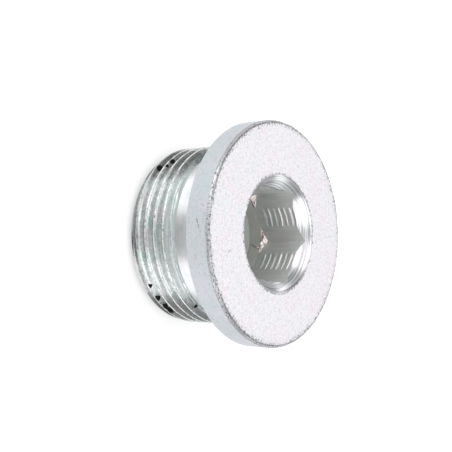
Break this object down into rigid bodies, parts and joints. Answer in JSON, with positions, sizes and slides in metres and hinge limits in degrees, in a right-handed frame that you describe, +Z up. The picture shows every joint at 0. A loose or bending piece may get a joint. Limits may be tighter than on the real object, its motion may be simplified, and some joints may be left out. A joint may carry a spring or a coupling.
{
  "type": "hex socket screw plug",
  "caption": "Collared steel screw plug with a fine right-hand thread and a hexagon socket, for closing a threaded port against a sealing washer.",
  "frame": {"origin": "centre of the sealing face, where the plug's axis meets the plane of the collar's underside", "axes": "+Z along the plug's axis, out of the hexagon socket; the thread lies on -Z, so the plug stands on its thread end with +Z up. +X and +Y are square to the axis, and one corner of the hexagon lies 21.1 degrees from +X towards +Y"},
  "size_m": [0.029, 0.029, 0.0158],
  "materials": {
    "zinc_plated_steel": "bright zinc plating with a blue-white passivation over turned free-cutting steel, satin on the faces and brighter in the relief and the countersink"
  },
  "bodies": {
    "root": {"screw_plug": "zinc_plated_steel"}
  },
  "joints": []
}
